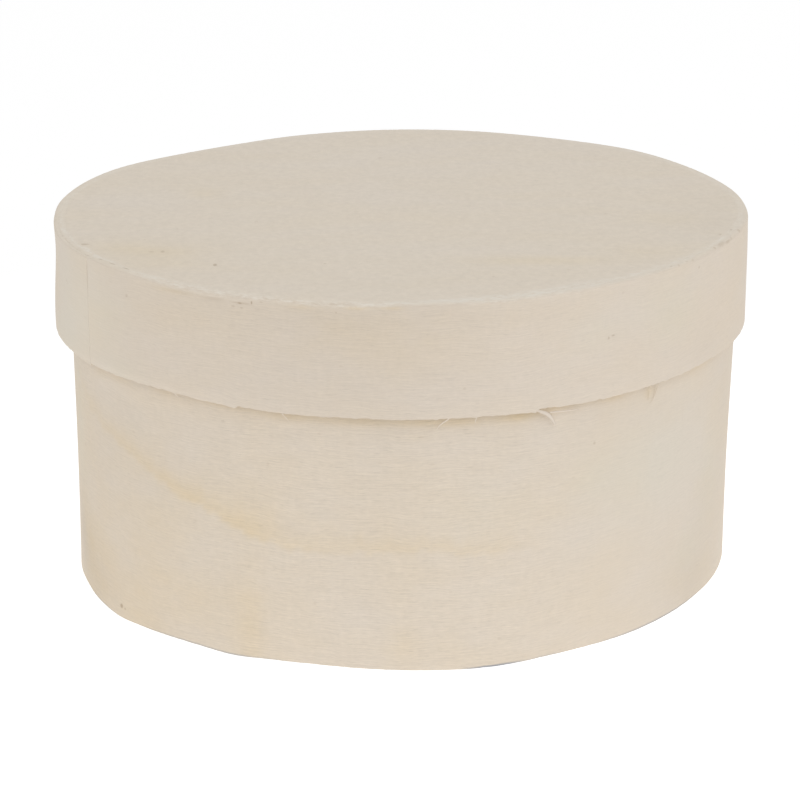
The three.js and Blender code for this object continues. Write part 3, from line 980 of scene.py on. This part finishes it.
# Glue round the lid's disc
# It fills the joint between the disc's rim and the band, and was sanded off and filled with dust.
lid_rim_line = rim_glue("lid_rim_line", lid_inset, lid_disc_low, lid_high)
lid_rim_line.data.materials.append(dusty_glue)
carry_top(lid_rim_line)
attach(lid_rim_line, "lid")
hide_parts("lid_rim_glue")


# Splinters of the lid
# Its lower edge was cut across the grain, and slivers and fibres of the veneer hang from it. They are
# part of the strip.
SPLINTER_STATIONS = 24
SPLINTER_CORNERS = 8


def splinter(route, half_widths, half_thickness):
    """Flat tapered sliver along a smooth route. The route's rows are direction in degrees, height and
    inset from the lid's outline in millimetres. Its section is an ellipse, wide in the plane of the wall."""
    route = np.array(route)
    knots = np.linspace(0, 1, len(route))
    share = np.linspace(0, 1, SPLINTER_STATIONS)
    degrees, height, inset = (np.interp(share, knots, column) for column in route.T)
    smoothing = np.array([0.25, 0.5, 0.25])
    for column in (degrees, height, inset):
        column[1:-1] = np.convolve(column, smoothing, "valid")
    middle = plan_points(np.radians(degrees), inset / 1000, height / 1000)
    ahead = np.gradient(middle, axis=0)
    ahead = ahead / np.linalg.norm(ahead, axis=1, keepdims=True)
    outward = middle * np.array([1, 1, 0])
    outward = outward / np.linalg.norm(outward, axis=1, keepdims=True)
    across = np.cross(ahead, outward)
    half_width = np.interp(share, np.linspace(0, 1, len(half_widths)), half_widths)[:, None, None] / 1000
    angle = round_turn(SPLINTER_CORNERS)[None, :, None]
    thickness = half_thickness / 1000 * np.minimum(1, half_width / half_width.max() + 0.2)
    wide = across[:, None] * half_width * np.cos(angle)
    return middle[:, None] + wide + outward[:, None] * thickness * np.sin(angle)


# Route, half widths from root to tip, half thickness, stain and tone
SPLINTERS = (
    ([(291.5, 35.2, 0.6), (292.4, 34.9, 0.5), (293.3, 34.55, 0.6), (294.1, 34.05, 0.8), (294.8, 33.45, 1.05),
      (295.35, 32.85, 1.35), (295.85, 32.25, 1.6)],
     [0.12, 0.24, 0.27, 0.26, 0.22, 0.15, 0.04], 0.07, 0, 0.01),
    ([(294.1, 34.5, 0.75), (295.6, 34.38, 0.9), (297, 34.25, 1), (298.6, 34.08, 1.2), (300.3, 33.92, 1.45)],
     [0.1, 0.12, 0.11, 0.09, 0.03], 0.05, 0, 0.05),
    ([(277.3, 35.35, 0.5), (277.1, 34.98, 0.6), (276.4, 34.5, 0.9), (275.8, 33.95, 1.3), (275.5, 33.3, 1.7)],
     [0.07, 0.1, 0.09, 0.07, 0.02], 0.04, 0, 0.08),
    ([(281.7, 35.35, 0.6), (281.6, 34.5, 1.1), (281.6, 33.9, 1.5)], [0.05, 0.07, 0.02], 0.03, 0, 0.07),
    ([(231.2, 35.9, 0.4), (231.4, 35.2, 0.8), (231.7, 34.6, 1.3)], [0.07, 0.12, 0.03], 0.03, 0, 0.06),
    ([(250.6, 35.2, 0.6), (250.8, 34.77, 0.6), (251.1, 34.21, 1.1), (251.4, 33.5, 1.6)],
     [0.06, 0.08, 0.07, 0.02], 0.03, 0, 0.08),
    ([(316, 35.2, 1), (315.9, 34.48, 1.4), (316.3, 33.64, 1.7), (316.5, 32.88, 1.85), (316.6, 32.3, 1.92)],
     [0.04, 0.05, 0.045, 0.03, 0.01], 0.02, 1, -0.1),
    ([(318.3, 35.2, 1), (318.3, 34.31, 1.4), (318.4, 33.53, 1.7), (318.2, 32.77, 1.85), (317.6, 32.1, 1.9),
      (317.1, 31.77, 1.93)],
     [0.05, 0.07, 0.06, 0.05, 0.03, 0.01], 0.02, 0.8, -0.08),
)
splinter_points = np.concatenate([splinter(*row[:3]).reshape(-1, 3) for row in SPLINTERS])
each = SPLINTER_STATIONS * SPLINTER_CORNERS
one_splinter = swept_faces(SPLINTER_STATIONS, SPLINTER_CORNERS)
splinter_faces = one_splinter + each * np.arange(len(SPLINTERS))[:, None, None]
lid_splinters = add_mesh(
    "lid_splinters",
    splinter_points,
    splinter_faces.reshape(-1, 4),
    strip=splinter_points,
    grain=np.ones(len(splinter_points)),
    stain=np.repeat([row[3] for row in SPLINTERS], each),
    tone=np.repeat([row[4] for row in SPLINTERS], each),
)
splinter_finish = veneer_material("splinter_finish", (), (), Lines=0.1, Flecks=0.0, Ripples=0.04)
lid_splinters.data.materials.append(splinter_finish)
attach(lid_splinters, "lid")


# Studio
# A white table that glows round the box, so that the box has no hard shadow, a white room all round, and
# one large soft lamp to the right of the camera. The table lies a hair below the box, so that the two
# share no plane.
FLOOR_HALF = 4.0
FLOOR_LEVEL = -0.00002
FLOOR_WHITE = (0.6, 0.6, 0.6, 1)
FLOOR_GLOW = 0.46
GLOW_NEAR_BOX = 0.25
NEAR, FAR = 0.04, 0.17
ROOM_LIGHT = 0.88

floor_corners = FLOOR_HALF * np.array([(-1, -1, 0), (1, -1, 0), (1, 1, 0), (-1, 1, 0)]) + (0, 0, FLOOR_LEVEL)
floor = add_mesh("floor", floor_corners, [(0, 1, 2, 3)], flat_faces=1)
floor_material, tree, shader = new_material("white_table", 0.9, 0.0)
from_box = place(tree, "TexCoord").outputs["Object"]
from_box = place(tree, "VectorMath", {0: from_box}, operation="LENGTH").outputs["Value"]
glow = total(tree, (ramp(tree, from_box, FAR, NEAR), GLOW_NEAR_BOX), (1.0, FLOOR_GLOW))
glow = shade_colour(tree, (1, 1, 1), glow)
feed(tree, shader.inputs, {"Base Color": FLOOR_WHITE, "Emission Color": glow, "Emission Strength": 1.0})
floor.data.materials.append(floor_material)

world = bpy.data.worlds.new("white_room")
world.use_nodes = True
background = world.node_tree.nodes["Background"]
feed(world.node_tree, background.inputs, {"Color": (1, 1, 1, 1), "Strength": ROOM_LIGHT})
bpy.context.scene.world = world

LAMP_PLACE = Vector((0.32, -0.55, 0.42))
lamp_data = bpy.data.lights.new("soft_lamp", "AREA")
lamp_data.shape = "DISK"
lamp_data.size = 0.4
lamp_data.energy = 0.5
lamp = bpy.data.objects.new("soft_lamp", lamp_data)
lamp.location = LAMP_PLACE
lamp.rotation_mode = "QUATERNION"
lamp.rotation_quaternion = (LAMP_PLACE - Vector((0, 0, 0.03))).to_track_quat("Z", "Y")
lamp.visible_camera = False
bpy.context.scene.collection.objects.link(lamp)

bpy.context.scene.view_settings.view_transform = "Standard"
